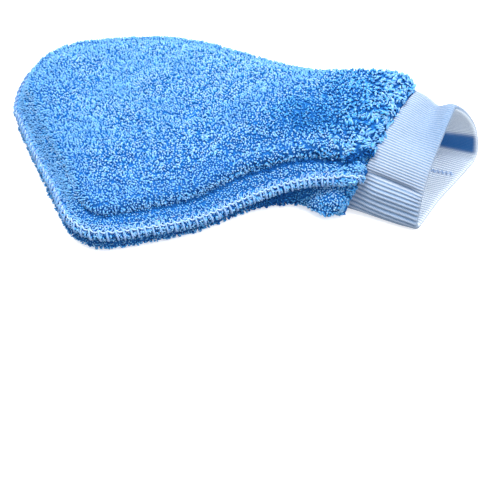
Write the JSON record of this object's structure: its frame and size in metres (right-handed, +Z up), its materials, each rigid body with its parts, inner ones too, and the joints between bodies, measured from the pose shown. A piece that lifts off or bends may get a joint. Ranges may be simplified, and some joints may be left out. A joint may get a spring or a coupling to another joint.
{
  "type": "wash mitt",
  "caption": "Soft plush wash mitt: a long-pile hand pouch with an overlocked edge and a folded rib-knit wrist cuff, lying on its palm.",
  "frame": {"origin": "on the resting plane, below the middle of the mitt's bounding box", "axes": "+X runs from the fingertip end to the cuff, +Y across the hand, +Z up out of the back panel"},
  "size_m": [0.279, 0.1824, 0.0609],
  "materials": {
    "plush": "curly long-pile fleece, saturated sky blue in the gaps and pale at the tips",
    "rib_knit": "matte 1x1 rib knit, pale blue",
    "seam_thread": "bulked overlock thread, light blue"
  },
  "bodies": {
    "pouch": {"back_panel": "plush", "palm_panel": "plush", "edge_needle_thread": "seam_thread", "edge_upper_looper_thread": "seam_thread", "edge_lower_looper_thread": "seam_thread"},
    "cuff": {"rib_cuff": "rib_knit", "cuff_seam_needle_thread": "seam_thread", "cuff_seam_upper_looper_thread": "seam_thread", "cuff_seam_lower_looper_thread": "seam_thread", "cuff_side_seam_thread": "seam_thread"}
  },
  "joints": [
    {"name": "cuff_flex", "type": "hinge", "parent": "pouch", "child": "cuff", "pos_m": [0.0986, -0.0095, 0.0555], "axis": [-0.4067, -0.9135, 0], "range_deg": [0, 35]}
  ]
}
